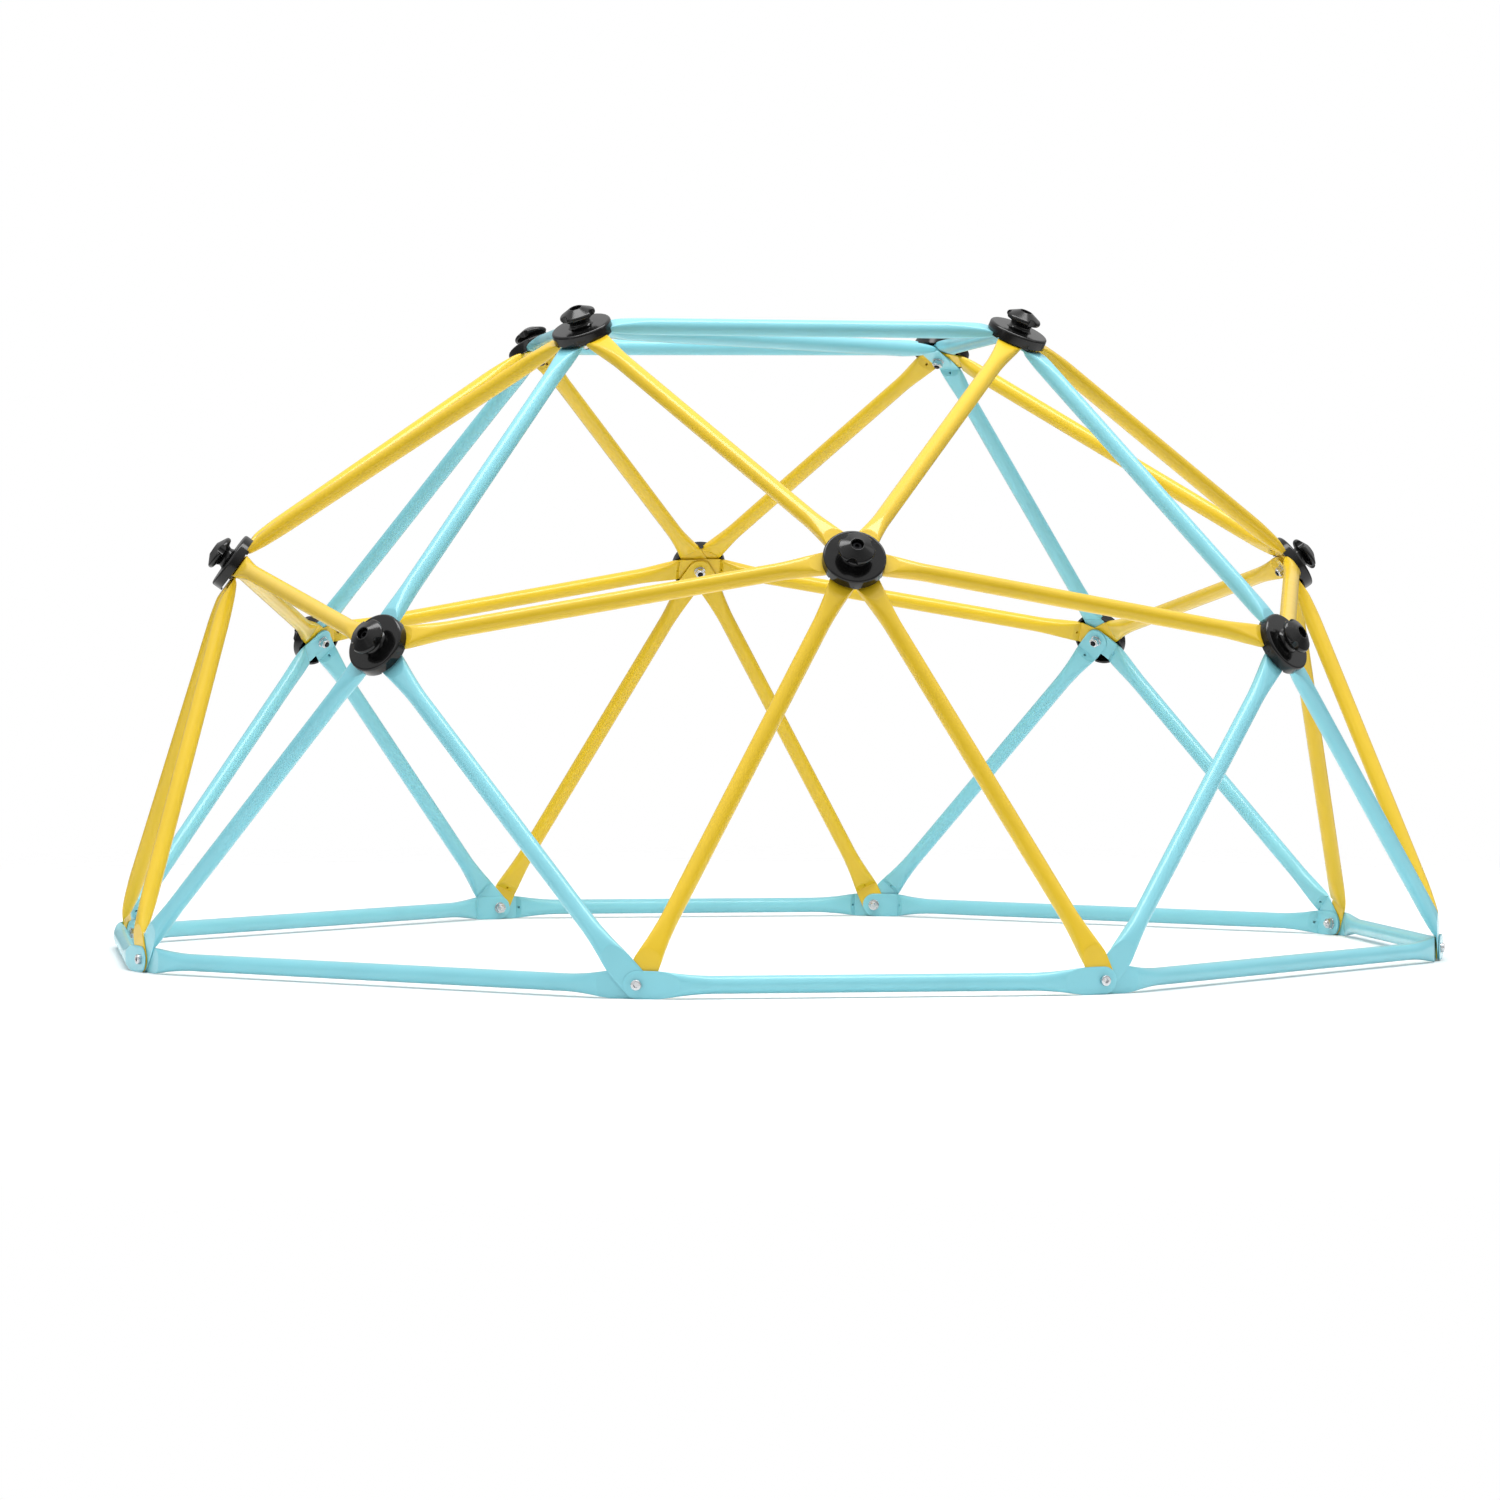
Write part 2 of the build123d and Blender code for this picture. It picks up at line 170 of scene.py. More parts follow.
def stacks():
    """For every joint, the joints that its tubes lead to, from the outermost leaf to the innermost."""
    found = {}
    for k in range(SIDES):
        after, before = (k + 1) % SIDES, (k - 1) % SIDES
        left, right = 2 * k, 2 * k + 1
        found[f"crown_{k}"] = [f"crown_{after}", f"crown_{before}", f"peak_{k}", f"peak_{before}"]
        found[f"crown_{k}"] += [f"corner_{k}"]
        found[f"peak_{k}"] = [f"crown_{k}", f"crown_{after}", f"corner_{k}", f"corner_{after}"]
        found[f"peak_{k}"] += [f"foot_{left}", f"foot_{right}"]
        found[f"corner_{k}"] = [f"crown_{k}", f"peak_{before}", f"peak_{k}"]
        found[f"corner_{k}"] += [f"foot_{2 * before + 1}", f"foot_{left}"]
        found[f"foot_{left}"] = [f"foot_{right}", f"corner_{k}", f"peak_{k}", f"foot_{2 * before + 1}"]
        found[f"foot_{right}"] = [f"foot_{left}", f"peak_{k}", f"corner_{after}", f"foot_{2 * after}"]
    found["crown_0"].append("crown_2")
    found["crown_2"].append("crown_0")
    return found


DIRECTION = joint_directions()
STACK = stacks()


def joint_centre(name):
    """Middle of the joint's stack of leaves, on its bolt."""
    radius = {"crown": CROWN_RADIUS, "peak": PEAK_RADIUS}.get(name.split("_")[0], JOINT_RADIUS)
    return CENTRE + DIRECTION[name] * radius


def leaf_centre(name, towards):
    """Where the bolt crosses the middle of the leaf of the tube that leads from one joint to another."""
    leaves = STACK[name]
    return joint_centre(name) + DIRECTION[name] * (LEAF * ((len(leaves) - 1) / 2 - leaves.index(towards)))


def along_leaf(name, towards):
    """Unit vector in the plane of a joint's leaves, pointing to another joint."""
    chord = leaf_centre(towards, name) - leaf_centre(name, towards)
    return (chord - DIRECTION[name] * chord.dot(DIRECTION[name])).normalized()


def crease_of(name, towards):
    """Distance from the bolt to the crease."""
    crowded = name.startswith("foot") and towards.startswith("corner")
    long_bar = name.startswith("foot") and towards == STACK[name][-1]
    return WIDE_CREASE if crowded or long_bar else CREASE


def joints_of(kind):
    """Names of the joints of a kind, in order."""
    return sorted(name for name in STACK if name.startswith(kind))


def quarter_turned(name, k):
    """The joint that a joint turns into when the dome is turned by k quarter turns."""
    kind, number = name.split("_")
    count = len(joints_of(kind))
    return f"{kind}_{(int(number) + k * count // SIDES) % count}"


def placed(origin, x_direction, z_direction):
    """Matrix that moves a shape from its own axes to an origin, an X direction and a Z direction."""
    y_direction = z_direction.cross(x_direction)
    rotation = Matrix((x_direction, y_direction, z_direction)).transposed().to_4x4()
    return Matrix.Translation(origin) @ rotation


def on_joint(name, first, level):
    """Place on a joint's bolt, level mm above its stack: Z outward, X towards another joint."""
    top = joint_centre(name) + DIRECTION[name] * (LEAF * len(STACK[name]) / 2 + level)
    return placed(top, along_leaf(name, first), DIRECTION[name])


# Mesh making.


def grid_mesh(name, rings, poles=None, closed=False):
    """Quads between rings of points, each ring closed on itself. poles cap both ends with one point each.

    With closed, the last ring joins the first, which makes a ring-shaped solid.
    """
    count, around = len(rings), len(rings[0])
    points = np.concatenate([np.asarray(ring, dtype=float) for ring in rings])
    steps = count if closed else count - 1
    faces = []
    for i in range(steps):
        here, there = i * around, ((i + 1) % count) * around
        for j in range(around):
            k = (j + 1) % around
            faces.append((here + j, there + j, there + k, here + k))
    if poles is not None:
        first, last = len(points), len(points) + 1
        points = np.concatenate([points, np.asarray(poles, dtype=float)])
        start = (count - 1) * around
        for j in range(around):
            k = (j + 1) % around
            faces.append((first, j, k))
            faces.append((last, start + k, start + j))
    mesh = bpy.data.meshes.new(name)
    mesh.from_pydata(points.tolist(), [], faces)
    mesh.update()
    return mesh


def lathe(name, profile, segments):
    """Solid of revolution about Z. profile is (radius, height) from one end of the axis to the other.

    A profile that doesn't start and end on the axis is a closed outline.
    """
    turn = np.arange(segments) / segments * 2 * pi
    on_axis = profile[0][0] == 0 and profile[-1][0] == 0
    rows = profile[1:-1] if on_axis else profile
    rings = [np.column_stack((r * np.cos(turn), r * np.sin(turn), np.full(segments, z))) for r, z in rows]
    poles = [(0, 0, profile[0][1]), (0, 0, profile[-1][1])] if on_axis else None
    return grid_mesh(name, rings, poles, closed=not on_axis)


def arc(centre, radius, start, end, steps):
    """Points of an arc in a profile, from one angle to another, in degrees."""
    angles = np.radians(np.linspace(start, end, steps + 1))
    return [(centre[0] + radius * cos(a), centre[1] + radius * sin(a)) for a in angles]


def through(first, middle, last, steps):
    """Points of the arc through three points of a profile."""
    (ax, ay), (bx, by), (cx, cy) = first, middle, last
    double = 2 * (ax * (by - cy) + bx * (cy - ay) + cx * (ay - by))
    squares = [x * x + y * y for x, y in (first, middle, last)]
    ux = (squares[0] * (by - cy) + squares[1] * (cy - ay) + squares[2] * (ay - by)) / double
    uy = (squares[0] * (cx - bx) + squares[1] * (ax - cx) + squares[2] * (bx - ax)) / double
    angle = [atan2(y - uy, x - ux) for x, y in (first, middle, last)]
    sweep = (angle[2] - angle[0]) % (2 * pi)
    if (angle[1] - angle[0]) % (2 * pi) > sweep:
        sweep -= 2 * pi
    radius = sqrt((ax - ux) ** 2 + (ay - uy) ** 2)
    turns = [angle[0] + sweep * i / steps for i in range(steps + 1)]
    return [(ux + radius * cos(a), uy + radius * sin(a)) for a in turns]


def prism(name, outline, low, high):
    """Prism between two heights over an outline of (x, y) points."""
    return grid_mesh_with_ends(name, [[(x, y, z) for x, y in outline] for z in (low, high)])


def grid_mesh_with_ends(name, rings):
    """grid_mesh with a flat face over each end."""
    count, around = len(rings), len(rings[0])
    points = [point for ring in rings for point in ring]
    faces = [tuple(range(around)), tuple(reversed(range((count - 1) * around, count * around)))]
    for i in range(count - 1):
        for j in range(around):
            k = (j + 1) % around
            faces.append((i * around + j, (i + 1) * around + j, (i + 1) * around + k, i * around + k))
    mesh = bpy.data.meshes.new(name)
    mesh.from_pydata(points, [], faces)
    mesh.update()
    return mesh


def face_outward(mesh):
    """Turns every face outward."""
    work = bmesh.new()
    work.from_mesh(mesh)
    bmesh.ops.recalc_face_normals(work, faces=work.faces)
    work.to_mesh(mesh)
    work.free()
    return mesh


def joined(name, pieces):
    """One mesh of several (mesh, matrix) pairs, which stay separate shells."""
    work = bmesh.new()
    for mesh, matrix in pieces:
        before = len(work.verts)
        work.from_mesh(mesh)
        work.verts.ensure_lookup_table()
        bmesh.ops.transform(work, matrix=matrix, verts=work.verts[before:])
    result = bpy.data.meshes.new(name)
    work.to_mesh(result)
    work.free()
    return result


def carved(mesh, other, operation):
    """Boolean of two closed meshes, by Blender's exact solver."""
    base = bpy.data.objects.new("base", face_outward(mesh))
    tool = bpy.data.objects.new("tool", face_outward(other))
    for obj in (base, tool):
        bpy.context.scene.collection.objects.link(obj)
    modifier = base.modifiers.new("cut", "BOOLEAN")
    modifier.object = tool
    modifier.operation = operation
    modifier.solver = "EXACT"
    view = bpy.context.evaluated_depsgraph_get()
    result = bpy.data.meshes.new_from_object(base.evaluated_get(view))
    bpy.data.objects.remove(base)
    bpy.data.objects.remove(tool)
    return result


def finished(mesh, angle=SMOOTH_ANGLE):
    """Smooth shading, with edges steeper than the angle kept crisp."""
    face_outward(mesh)
    mesh.shade_smooth()
    mesh.set_sharp_from_angle(angle=radians(angle))
    return mesh


def add_piece(node, mesh, matrix):
    """A finished piece in metres that stands for a CAD node."""
    own = mesh.copy()
    own.transform(Matrix.Scale(METRE, 4) @ matrix)
    own.name = f"{node}_visual"
    own.materials.clear()
    own.materials.append(SLOTS[slot_of[node]])
    piece = bpy.data.objects.new(f"{node}_visual", own)
    bpy.context.scene.collection.objects.link(piece)
    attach(piece, "root")
    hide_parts(node)
    return piece


# Tubes with pressed ends.


def smooth_through(knots, x):
    """Smooth curve through (x, value) knots, level beyond both ends."""
    xs, ys = np.array(knots, dtype=float).T
    slopes = np.gradient(ys, xs)
    slopes[0] = slopes[-1] = 0
    x = np.clip(x, xs[0], xs[-1])
    i = np.clip(np.searchsorted(xs, x, side="right") - 1, 0, len(xs) - 2)
    gap = xs[i + 1] - xs[i]
    t = (x - xs[i]) / gap
    start = ys[i] * (1 + 2 * t) * (1 - t) ** 2 + slopes[i] * gap * t * (1 - t) ** 2
    end = ys[i + 1] * t * t * (3 - 2 * t) + slopes[i + 1] * gap * t * t * (t - 1)
    return start + end


def soft_min(a, b, softness):
    """The smaller of two values, rounded off where they are nearly equal."""
    return np.minimum(a, b) - np.maximum(softness - np.abs(a - b), 0) ** 2 / (4 * softness)


def soft_clamp(value, low, high):
    """A value kept between two others, rounded off where it meets them."""
    return -soft_min(-soft_min(value, high, EDGE_SOFTNESS), -low, EDGE_SOFTNESS)


def pressed_end(bend, crease):
    """One end of a tube as rings of points, from its tip to the round stretch, and the point of the tip.

    The axes are the tube's: X along it from the crease, Z outward. A ring's stations differ from line to
    line, so that one of them lies on each pressed edge. bend is the leaf's angle to the tube.
    """
    turn = (np.arange(AROUND) / AROUND * 2 * pi)[:, None]
    tip = crease + LEAF_HALF_WIDTH
    widths = [(-crease, LEAF_HALF_WIDTH), (TAPER_START - crease, LEAF_HALF_WIDTH)] + WIDTHS

    def core(s):
        """Half width and height of the unpressed section at distance s from the crease, at each angle."""
        behind = np.minimum(s + crease, 0)
        narrowing = np.sqrt(np.maximum(LEAF_HALF_WIDTH**2 - behind**2, 0)) / LEAF_HALF_WIDTH
        power = smooth_through(POWERS, s)
        grow = (np.abs(np.cos(turn)) ** power + np.abs(np.sin(turn)) ** power) ** (-1 / power)
        width = smooth_through(widths, s) * narrowing
        height = smooth_through(HEIGHTS, s) * narrowing
        return width * np.cos(turn) * grow, height * np.sin(turn) * grow

    def limits(s):
        """Heights of the pressed outline's underside and top, for s past the crease."""
        top = s * tan(bend) + WALL / cos(bend)
        leaf_side = s * tan(bend) - WALL / cos(bend)
        facet = -WALL * cos(bend) - (s - WALL * sin(bend)) * tan(radians(FACET_ANGLE) - bend)
        return np.where(s < WALL * sin(bend), leaf_side, facet), top

    # Where each line leaves the pressed faces.
    near, far = np.zeros_like(turn), np.full_like(turn, ROUND_START - 6)
    for _ in range(40):
        middle = (near + far) / 2
        height = core(middle)[1]
        low, high = limits(middle)
        pressed = (height > high) | (height < low)
        near, far = np.where(pressed, middle, near), np.where(pressed, far, middle)

    round_tip = -crease - LEAF_HALF_WIDTH * np.cos(np.linspace(0.06, pi / 2, TIP_STEPS))
    leaf = np.linspace(-crease, 0, int(crease / LEAF_STEP) + 1)[1:]
    fixed = np.concatenate([round_tip, leaf, FLARE_STATIONS])
    heel = WALL * sin(bend)
    stations = [np.tile(fixed, (AROUND, 1)), near + np.array(NEAR_EDGE)]
    stations += [np.tile(heel + np.array(NEAR_EDGE) / 2, (AROUND, 1))]
    s = np.sort(np.concatenate(stations, axis=1), axis=1)
    y, height = core(s)
    low, high = limits(s)
    # Past the crease, sections are square to the tube; on the leaf they turn square to the leaf.
    tube_z = soft_clamp(height, low, high)
    thick = soft_clamp(height * cos(bend), -WALL, WALL)
    shear = np.clip(1 + s / 8, 0, 1)
    leaf_x = s * cos(bend) - thick * sin(bend) * (1 - shear)
    leaf_z = s * sin(bend) + thick * (cos(bend) + shear * tan(bend) * sin(bend))
    x, z = np.where(s < 0, leaf_x, s), np.where(s < 0, leaf_z, tube_z)
    rings = np.stack((x, y, z), axis=2).transpose(1, 0, 2)
    return rings, np.array((-tip * cos(bend), 0, -tip * sin(bend)))


def end_drills(bend, crease):
    """Cutters for the bolt hole and the vent hole of an end, with their places."""
    down = Vector((cos(bend - radians(FACET_ANGLE)), 0, sin(bend - radians(FACET_ANGLE))))
    along, out = Vector((cos(bend), 0, sin(bend))), Vector((-sin(bend), 0, cos(bend)))
    outline = [(0, -DRILL_REACH), (HOLE_RADIUS, -DRILL_REACH), (HOLE_RADIUS, DRILL_REACH), (0, DRILL_REACH)]
    bolt = lathe("bolt hole", outline, 40)
    vent = lathe("vent", [(0, -2), (VENT_RADIUS, -2), (VENT_RADIUS, VENT_DEPTH), (0, VENT_DEPTH)], 28)
    middle = out * -WALL + down * VENT_PLACE
    across = Vector((0, 1, 0))
    inward = Vector((-down.z, 0, down.x))
    return [(bolt, placed(along * -crease, across, out)), (vent, placed(middle, across, inward))]


def tube_shape(name, other):
    """The mesh of the tube between two joints, on its own axes, and its place."""
    near, far = along_leaf(name, other), along_leaf(other, name)
    start = leaf_centre(name, other) + near * crease_of(name, other)
    end = leaf_centre(other, name) + far * crease_of(other, name)
    length = (end - start).length
    line = (end - start).normalized()
    outward = (DIRECTION[name] - line * DIRECTION[name].dot(line)).normalized()
    near_end = near.angle(line), crease_of(name, other)
    far_end = far.angle(-line), crease_of(other, name)
    near_rings, near_tip = pressed_end(*near_end)
    far_rings, far_tip = pressed_end(*far_end)
    flip = np.array((-1, 1, 1))
    shift = np.array((length, 0, 0))
    rings = np.concatenate([near_rings, (far_rings * flip + shift)[::-1]])
    mesh = grid_mesh("tube", rings, [near_tip, far_tip * flip + shift])
    mirrored = Matrix.Translation((length, 0, 0)) @ Matrix.Scale(-1, 4, Vector((1, 0, 0)))
    drills = end_drills(*near_end) + [(drill, mirrored @ place) for drill, place in end_drills(*far_end)]
    mesh = carved(mesh, joined("drills", drills), "DIFFERENCE")
    return finished(mesh), placed(start, line, outward)


# Tubes by family: the name, and the joints that the first quarter's tubes connect.
FAMILIES = {
    "crown_bar": [("crown_0", "crown_1")],
    "crown_brace": [("crown_0", "peak_0"), ("crown_1", "peak_0")],
    "corner_rafter": [("crown_0", "corner_0")],
    "ring_bar": [("peak_0", "corner_0"), ("peak_0", "corner_1")],
    "peak_leg": [("peak_0", "foot_0"), ("peak_0", "foot_1")],
    "corner_leg": [("corner_0", "foot_0"), ("corner_1", "foot_1")],
    "short_base_bar": [("foot_0", "foot_1")],
    "long_base_bar": [("foot_1", "foot_2")],
}


def add_tubes():
    """Every tube. Half of each family is the other half turned by half a turn."""
    half_turn = Matrix.Rotation(pi, 4, "Z")
    for family, pairs in FAMILIES.items():
        for i, (name, other) in enumerate(pairs):
            for k in range(SIDES // 2):
                mesh, place = tube_shape(quarter_turned(name, k), quarter_turned(other, k))
                number = k * len(pairs) + i + 1
                add_piece(f"{family}_{number}", mesh, place)
                add_piece(f"{family}_{number + SIDES // 2 * len(pairs)}", mesh, half_turn @ place)
    add_piece("crown_diagonal", *tube_shape("crown_0", "crown_2"))


# Caps and grips.

# Capped joints: where the first cap's X points, and degrees from there to the middle of a grip's scallop.
CAPPED = {
    "crown": ("corner_0", CROWN_GRIP_TURN),
    "peak": ("crown_0", GRIP_TURN),
    "corner": ("crown_0", GRIP_TURN),
}


def leaf_angles(name, first):
    """Angle of each tube round a joint, from the tube that leads to first."""
    ahead = along_leaf(name, first)
    across = DIRECTION[name].cross(ahead)
    directions = [along_leaf(name, towards) for towards in STACK[name]]
    return [atan2(d.dot(across), d.dot(ahead)) for d in directions]


def cap_shape(angles):
    """Moulded cap: a ribbed disc with a skirt that is notched for each tube. Z is 0 at the outermost leaf."""
    inner = CAP_RADIUS - CAP_WALL
    boss = WASHER_RADIUS + 4
    rim = arc((CAP_RADIUS - CAP_RIM_FILLET, CAP_HEIGHT - CAP_RIM_FILLET), CAP_RIM_FILLET, 90, 0, 10)
    profile = [(GRIP_BORE, CAP_HEIGHT), (20, CAP_HEIGHT)] + rim
    profile += arc((CAP_RADIUS - 0.5, 0.5 - KEY_DEPTH), 0.5, 0, -90, 3)
    profile += arc((inner + 0.5, 0.5 - KEY_DEPTH), 0.5, -90, -180, 3)
    profile += arc((inner - 1, CAP_HEIGHT - CAP_WALL - 1), 1, 0, 90, 3)
    profile += [(boss, CAP_HEIGHT - CAP_WALL), (boss, 0), (GRIP_BORE, 0)]
    mesh = lathe("cap", profile, CAP_SEGMENTS)
    wide, narrow = LEAF_HALF_WIDTH + KEY_GAP, NOTCH_NARROW + KEY_GAP
    edge = [(NOTCH_START, wide), (CREASE, wide), (NOTCH_END, narrow)]
    outline = [(x, -y) for x, y in edge] + [(x, y) for x, y in reversed(edge)]
    rib_outline = [(RIB_START, -RIB_HALF_WIDTH), (inner + 1, -RIB_HALF_WIDTH)]
    rib_outline += [(inner + 1, RIB_HALF_WIDTH), (RIB_START, RIB_HALF_WIDTH)]
    for layer, angle in enumerate(angles):
        roof = max(-LEAF * layer, -SKIRT_DEPTH)
        notch = prism("notch", outline, -3 * KEY_DEPTH, roof)
        notch.transform(Matrix.Rotation(angle, 4, "Z"))
        mesh = carved(mesh, notch, "DIFFERENCE")
        rib = prism("rib", rib_outline, 1, CAP_HEIGHT - 1)
        rib.transform(Matrix.Rotation(angle, 4, "Z"))
        mesh = carved(mesh, rib, "UNION")
    return finished(mesh)


def grip_shape():
    """Three-lobed climbing grip. Z is 0 on the cap, and a scallop's middle is on X."""
    profile = [(GRIP_BORE, 0), (16.4, 0)]
    profile += through((16.9, 0.3), (13.8, 4.9), (15.4, 9.0), 16)
    profile += through((15.4, 9.0), (15.7, 9.5), (16.4, 9.75), 4)[1:]
    profile += [(17.4, 10.0), (18.4, 10.3), (19.4, 10.6)]
    profile += through((20.4, 10.9), (23.5, 14.3), (21.6, 18.1), 22)
    profile += [(21.6 - 11 * t, 18.1 + 5.8 * t) for t in np.linspace(0.06, 1, 22)]
    profile += through((10.6, 23.9), (9.5, 24.5), (8.9, GRIP_HEIGHT), 5)[1:]
    bore_edge = (GRIP_COUNTERBORE, GRIP_HEIGHT - 0.6)
    profile += through((8.3, GRIP_HEIGHT), (7.95, GRIP_HEIGHT - 0.15), bore_edge, 3)
    profile += [(GRIP_COUNTERBORE, 20), (GRIP_COUNTERBORE, GRIP_SEAT), (GRIP_BORE, GRIP_SEAT)]
    turn = np.arange(GRIP_SEGMENTS) / GRIP_SEGMENTS * 2 * pi
    # Reach of a ray before it enters the nearest scallop.
    aside = (turn + pi / LOBES) % (2 * pi / LOBES) - pi / LOBES
    inside = SCALLOP_RADIUS**2 - (SCALLOP_CENTRE * np.sin(aside)) ** 2
    reach = SCALLOP_CENTRE * np.cos(aside) - np.sqrt(np.maximum(inside, 0))
    tangent = asin(SCALLOP_RADIUS / SCALLOP_CENTRE)
    past = np.maximum(np.abs(aside) - tangent, 0)
    reach = reach + past * SCALLOP_SLOPE
    rings = []
    for radius, height in profile:
        limited = np.full(GRIP_SEGMENTS, radius)
        if radius > HEAD_START:
            limited = soft_min(limited, reach, SCALLOP_SOFTNESS)
        level = np.full(GRIP_SEGMENTS, height)
        rings.append(np.column_stack((limited * np.cos(turn), limited * np.sin(turn), level)))
    return finished(grid_mesh("grip", rings, closed=True), GRIP_ANGLE)


def add_caps_and_grips():
    """A cap and a grip on every joint above the ground, grouped by kind of joint."""
    grip = grip_shape()
    for kind, (first, grip_turn) in CAPPED.items():
        caps, grips, shapes = [], [], {}
        for k in range(SIDES):
            name, ahead = quarter_turned(f"{kind}_0", k), quarter_turned(first, k)
            tubes = len(STACK[name])
            if tubes not in shapes:
                shapes[tubes] = cap_shape(leaf_angles(name, ahead))
            caps.append((shapes[tubes], on_joint(name, ahead, 0)))
            grip_place = on_joint(name, ahead, CAP_HEIGHT) @ Matrix.Rotation(radians(grip_turn), 4, "Z")
            grips.append((grip, grip_place))
        add_piece(f"{kind}_caps", finished(joined("caps", caps)), Matrix.Identity(4))
        add_piece(f"{kind}_grips", finished(joined("grips", grips), GRIP_ANGLE), Matrix.Identity(4))


# M8 hardware.


def hexagon(across):
    """Corners of a hexagon by its width across flats."""
    reach = across / sqrt(3)
    return [(reach * cos(pi / 3 * i), reach * sin(pi / 3 * i)) for i in range(6)]


def bolt_shape(length):
    """Low socket-head bolt with a threaded end. Z is 0 under the head, and the shank points down."""
    top = arc((HEAD_RADIUS - HEAD_FILLET, HEAD_HEIGHT - HEAD_FILLET), HEAD_FILLET, 90, 0, 6)
    profile = [(0, HEAD_HEIGHT)] + top + [(HEAD_RADIUS, 0.25), (HEAD_RADIUS - 0.25, 0), (BOLT_RADIUS, 0)]
    thread_length = NUT_HEIGHT + BOLT_END + THREAD_SPARE
    z = thread_length - length
    while z > 1.2 - length:
        profile += [(BOLT_RADIUS, z), (BOLT_RADIUS - THREAD_DEPTH, z - THREAD_PITCH / 2)]
        z -= THREAD_PITCH
    profile += [(BOLT_RADIUS - THREAD_DEPTH, 0.7 - length), (BOLT_RADIUS - 1, -length), (0, -length)]
    bolt = lathe("bolt", profile, 48)
    socket = prism("socket", hexagon(SOCKET_ACROSS), HEAD_HEIGHT - SOCKET_DEPTH, HEAD_HEIGHT + 3)
    return finished(carved(bolt, socket, "DIFFERENCE"))


def washer_shape():
    """Flat washer. Z is 0 on its upper face."""
    hole = BOLT_RADIUS + 0.3
    rounding = 0.25
    profile = [(hole, 0), (WASHER_RADIUS - rounding, 0), (WASHER_RADIUS, -rounding)]
    profile += [(WASHER_RADIUS, rounding - WASHER_THICKNESS), (WASHER_RADIUS - rounding, -WASHER_THICKNESS)]
    profile += [(hole, -WASHER_THICKNESS)]
    return finished(lathe("washer", profile, 56))


def nut_shape():
    """Nylon-insert lock nut. Z is 0 on its bearing face, and it hangs below."""
    corner = HEX_ACROSS / sqrt(3)
    flat = HEX_ACROSS / 2
    blank = lathe(
        "blank",
        [(0, 0), (flat - 0.2, 0), (corner + 0.05, -0.6), (corner + 0.05, 0.6 - NUT_HEX_HEIGHT)]
        + [(flat - 0.2, -NUT_HEX_HEIGHT), (0, -NUT_HEX_HEIGHT)],
        72,
    )
    body = carved(prism("hexagon", hexagon(HEX_ACROSS), -NUT_HEX_HEIGHT, 0), blank, "INTERSECT")
    outer = flat - 0.8
    collar = [(0, 0.5 - NUT_HEX_HEIGHT), (outer, 0.5 - NUT_HEX_HEIGHT), (outer, 1.0 - NUT_HEIGHT)]
    collar += arc((outer - 1, 1 - NUT_HEIGHT), 1, 0, -90, 5)
    collar += [(outer - 1.3, -NUT_HEIGHT), (outer - 1.3, 0.5 - NUT_HEIGHT), (0, 0.5 - NUT_HEIGHT)]
    body = carved(body, lathe("collar", collar, 56), "UNION")
    radius = BOLT_RADIUS + BORE_CLEARANCE
    bore = lathe("bore", [(0, 1), (radius, 1), (radius, -NUT_HEIGHT - 1), (0, -NUT_HEIGHT - 1)], 48)
    return finished(carved(body, bore, "DIFFERENCE"))


def add_hardware():
    """Bolts, and a washer and a nut on the inside end of each."""
    washer, nut = washer_shape(), nut_shape()
    washers, nuts = [], []
    for node, kinds in {"hub_bolts": CAPPED, "foot_bolts": ("foot",)}.items():
        seat = CAP_HEIGHT + GRIP_SEAT if node == "hub_bolts" else 0
        bolts, shapes = [], {}
        for name in (name for kind in kinds for name in joints_of(kind)):
            first, depth = STACK[name][0], LEAF * len(STACK[name])
            if depth not in shapes:
                shapes[depth] = bolt_shape(seat + depth + WASHER_THICKNESS + NUT_HEIGHT + BOLT_END)
            bolts.append((shapes[depth], on_joint(name, first, seat)))
            washers.append((washer, on_joint(name, first, -depth)))
            nuts.append((nut, on_joint(name, first, -depth - WASHER_THICKNESS)))
        add_piece(node, finished(joined(node, bolts)), Matrix.Identity(4))
    add_piece("washers", finished(joined("washers", washers)), Matrix.Identity(4))
    add_piece("nuts", finished(joined("nuts", nuts)), Matrix.Identity(4))


# Finishes.


def new_material(name):
    """A node material with a Principled shader: (material, nodes, links, shader)."""
    material = bpy.data.materials.new(name)
    material.use_nodes = True
    nodes, links = material.node_tree.nodes, material.node_tree.links
    return material, nodes, links, nodes["Principled BSDF"]


def noise(nodes, links, scale, detail):
    """Noise over the object's own coordinates, with scale in waves per metre."""
    place = nodes.new("ShaderNodeTexCoord")
    texture = nodes.new("ShaderNodeTexNoise")
    texture.inputs["Scale"].default_value = scale
    texture.inputs["Detail"].default_value = detail
    links.new(place.outputs["Object"], texture.inputs["Vector"])
    return texture.outputs["Fac"]


def ranged(nodes, links, value, low, high):
    """A noise value spread between two numbers."""
    spread = nodes.new("ShaderNodeMapRange")
    spread.inputs["From Min"].default_value = 0.3
    spread.inputs["From Max"].default_value = 0.7
    spread.inputs["To Min"].default_value = low
    spread.inputs["To Max"].default_value = high
    links.new(value, spread.inputs["Value"])
    return spread.outputs["Result"]


def add_bump(nodes, links, shader, value, depth):
    """Bump of a depth in metres."""
    bump = nodes.new("ShaderNodeBump")
    bump.inputs["Strength"].default_value = 1
    bump.inputs["Distance"].default_value = depth
    links.new(value, bump.inputs["Height"])
    links.new(bump.outputs["Normal"], shader.inputs["Normal"])


